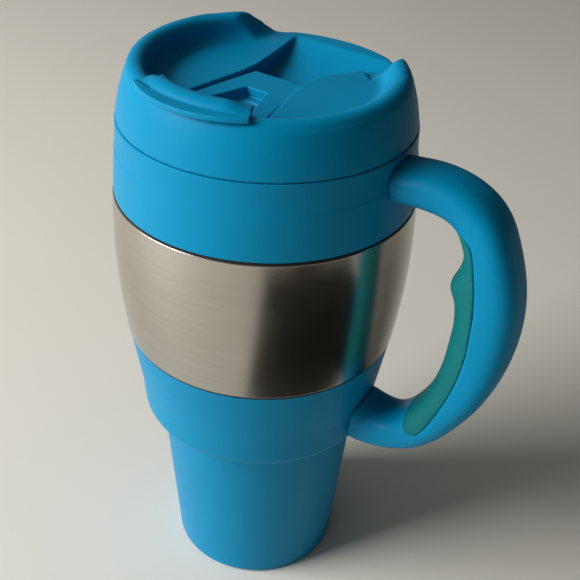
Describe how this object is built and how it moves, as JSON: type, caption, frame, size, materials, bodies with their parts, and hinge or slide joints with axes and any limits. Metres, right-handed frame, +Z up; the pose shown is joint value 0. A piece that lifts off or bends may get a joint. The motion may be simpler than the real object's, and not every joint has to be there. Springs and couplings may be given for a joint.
{
  "type": "insulated travel mug",
  "caption": "Barrel-shaped insulated travel mug with a steel band, side handle with soft grip, tapered foot, and screw-on lid with a flip-up drinking flap.",
  "frame": {"origin": "middle of the flat face that the mug stands on", "axes": "+Z up along the mug's axis; +X out through the handle; the drinking side of the screwed-down lid is close to -Y"},
  "size_m": [0.1652, 0.1167, 0.236],
  "materials": {
    "blue_plastic": "satin",
    "steel": "brushed around the band",
    "grip_rubber": "matte soft-touch",
    "liner_plastic": "matte",
    "foam": "rigid foam",
    "seal_rubber": "matte",
    "silicone": "translucent satin",
    "screw_steel": "plated"
  },
  "bodies": {
    "mug": {"base_cup": "blue_plastic", "base_cap": "blue_plastic", "fill_plug": "blue_plastic", "foam_insulation": "foam", "inner_liner": "liner_plastic", "band_seal_lower": "seal_rubber", "steel_band": "steel", "band_seal_upper": "seal_rubber", "collar": "blue_plastic", "handle_shell": "blue_plastic", "handle_grip": "grip_rubber", "handle_screws": "screw_steel"},
    "lid_carrier": {"lid_gasket": "silicone"},
    "lid": {"lid_shell": "blue_plastic", "lid_plug": "blue_plastic", "hinge_pin": "screw_steel"},
    "flap": {"flap": "blue_plastic", "flap_seal": "silicone", "vent_pad": "silicone"}
  },
  "joints": [
    {"name": "lid_lift", "type": "slide", "parent": "mug", "child": "lid_carrier", "axis": [0, 0, 1], "range_m": [0, 0.018]},
    {"name": "lid_turn", "type": "hinge", "parent": "lid_carrier", "child": "lid", "pos_m": [0, 0, 0.2133], "axis": [0, 0, 1], "range_deg": [0, 270]},
    {"name": "flap_hinge", "type": "hinge", "parent": "lid", "child": "flap", "pos_m": [0.0004, 0.00579, 0.2219], "axis": [-0.9976, 0.0698, 0], "range_deg": [0, 150]}
  ],
  "couplings": [
    {"joint": "lid_lift", "follows": "lid_turn", "m_per_rad": 0.0038197}
  ]
}
